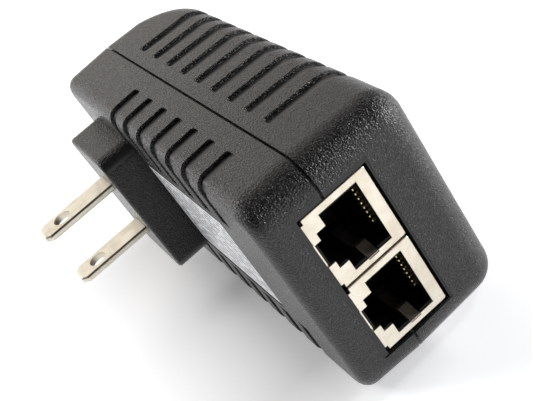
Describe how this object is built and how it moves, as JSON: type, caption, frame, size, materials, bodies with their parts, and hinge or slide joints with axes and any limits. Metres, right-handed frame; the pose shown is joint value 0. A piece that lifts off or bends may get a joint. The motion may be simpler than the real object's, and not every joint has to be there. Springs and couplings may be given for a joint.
{
  "type": "wall-plug power over ethernet injector",
  "caption": "Compact black wall-plug adapter that adds power to a network cable: ribbed two-part case, folded-metal shielded sockets at one end, flat mains blades on a raised block.",
  "frame": {"origin": "middle of the plug block's end face, between the two blades", "axes": "-X along the blades, out of the case towards the wall socket; +X to the broad front face; -Y out of the two network ports; Z across the case, through both blades and both ports"},
  "size_m": [0.0565, 0.0922, 0.0458],
  "materials": {
    "case_plastic": "fine spark-eroded texture, smooth in the groove floors",
    "label_film": "satin",
    "blade_metal": "nickel plated, satin",
    "insert_plastic": "satin",
    "solder": "tinned",
    "shield_metal": "nickel plated, bright",
    "gold": "gold plated",
    "board_laminate": "glass-epoxy laminate with a green coating",
    "ferrite": "dull",
    "winding_tape": "yellow polyester tape",
    "copper_wire": "enamelled copper",
    "fuse_glass": "clear",
    "barrier_film": "fish-paper sheet",
    "capacitor_sleeve": "shrink sleeve",
    "film_capacitor": "moulded box",
    "package_epoxy": "moulded epoxy",
    "blue_coating": "dipped epoxy",
    "green_coating": "dipped epoxy",
    "heatsink_aluminium": "bare",
    "resistor_coating": "lacquered"
  },
  "bodies": {
    "injector": {"rear_shell": "case_plastic", "front_shell": "case_plastic", "rating_label": "label_film", "plug_blade_upper": "blade_metal", "plug_blade_lower": "blade_metal", "blade_carrier": "insert_plastic", "blade_terminals": "solder", "lan_jack_shield": "shield_metal", "poe_jack_shield": "shield_metal", "lan_jack_housing": "insert_plastic", "poe_jack_housing": "insert_plastic", "lan_jack_leads": "gold", "poe_jack_leads": "gold", "circuit_board": "board_laminate", "transformer_core": "ferrite", "transformer_bobbin": "insert_plastic", "transformer_winding": "winding_tape", "choke_core": "ferrite", "choke_windings": "copper_wire", "fuse_tube": "fuse_glass", "fuse_caps": "solder", "heatsink_screws": "shield_metal", "output_choke_core": "ferrite", "output_choke_winding": "copper_wire", "barrier_sheet": "barrier_film", "bulk_capacitor": "capacitor_sleeve", "output_capacitors": "capacitor_sleeve", "x_capacitor": "film_capacitor", "bridge_rectifier": "package_epoxy", "y_capacitor": "blue_coating", "surge_varistor": "blue_coating", "inrush_thermistor": "green_coating", "optocoupler": "package_epoxy", "control_chip": "package_epoxy", "primary_heatsink": "heatsink_aluminium", "switch_transistor": "package_epoxy", "secondary_heatsink": "heatsink_aluminium", "output_diode": "package_epoxy", "snubber_resistors": "resistor_coating"},
    "lan_contact_set": {"lan_jack_contacts": "gold"},
    "poe_contact_set": {"poe_jack_contacts": "gold"},
    "lan_side_spring": {"lan_jack_ground_spring": "shield_metal"},
    "poe_side_spring": {"poe_jack_ground_spring": "shield_metal"}
  },
  "joints": [
    {"name": "lan_contacts_flex", "type": "hinge", "parent": "injector", "child": "lan_contact_set", "pos_m": [0.02485, -0.0672, 0.00773], "axis": [0, 0, -1], "range_deg": [0, 10], "stiffness_Nm_per_rad": 0.2},
    {"name": "lan_side_spring_flex", "type": "hinge", "parent": "injector", "child": "lan_side_spring", "pos_m": [0.02115, -0.07027, 0.00123], "axis": [-1, 0, 0], "range_deg": [0, 5], "stiffness_Nm_per_rad": 0.03},
    {"name": "poe_contacts_flex", "type": "hinge", "parent": "injector", "child": "poe_contact_set", "pos_m": [0.02485, -0.0672, -0.00813], "axis": [0, 0, -1], "range_deg": [0, 10], "stiffness_Nm_per_rad": 0.2},
    {"name": "poe_side_spring_flex", "type": "hinge", "parent": "injector", "child": "poe_side_spring", "pos_m": [0.02115, -0.07027, -0.01463], "axis": [-1, 0, 0], "range_deg": [0, 5], "stiffness_Nm_per_rad": 0.03}
  ]
}
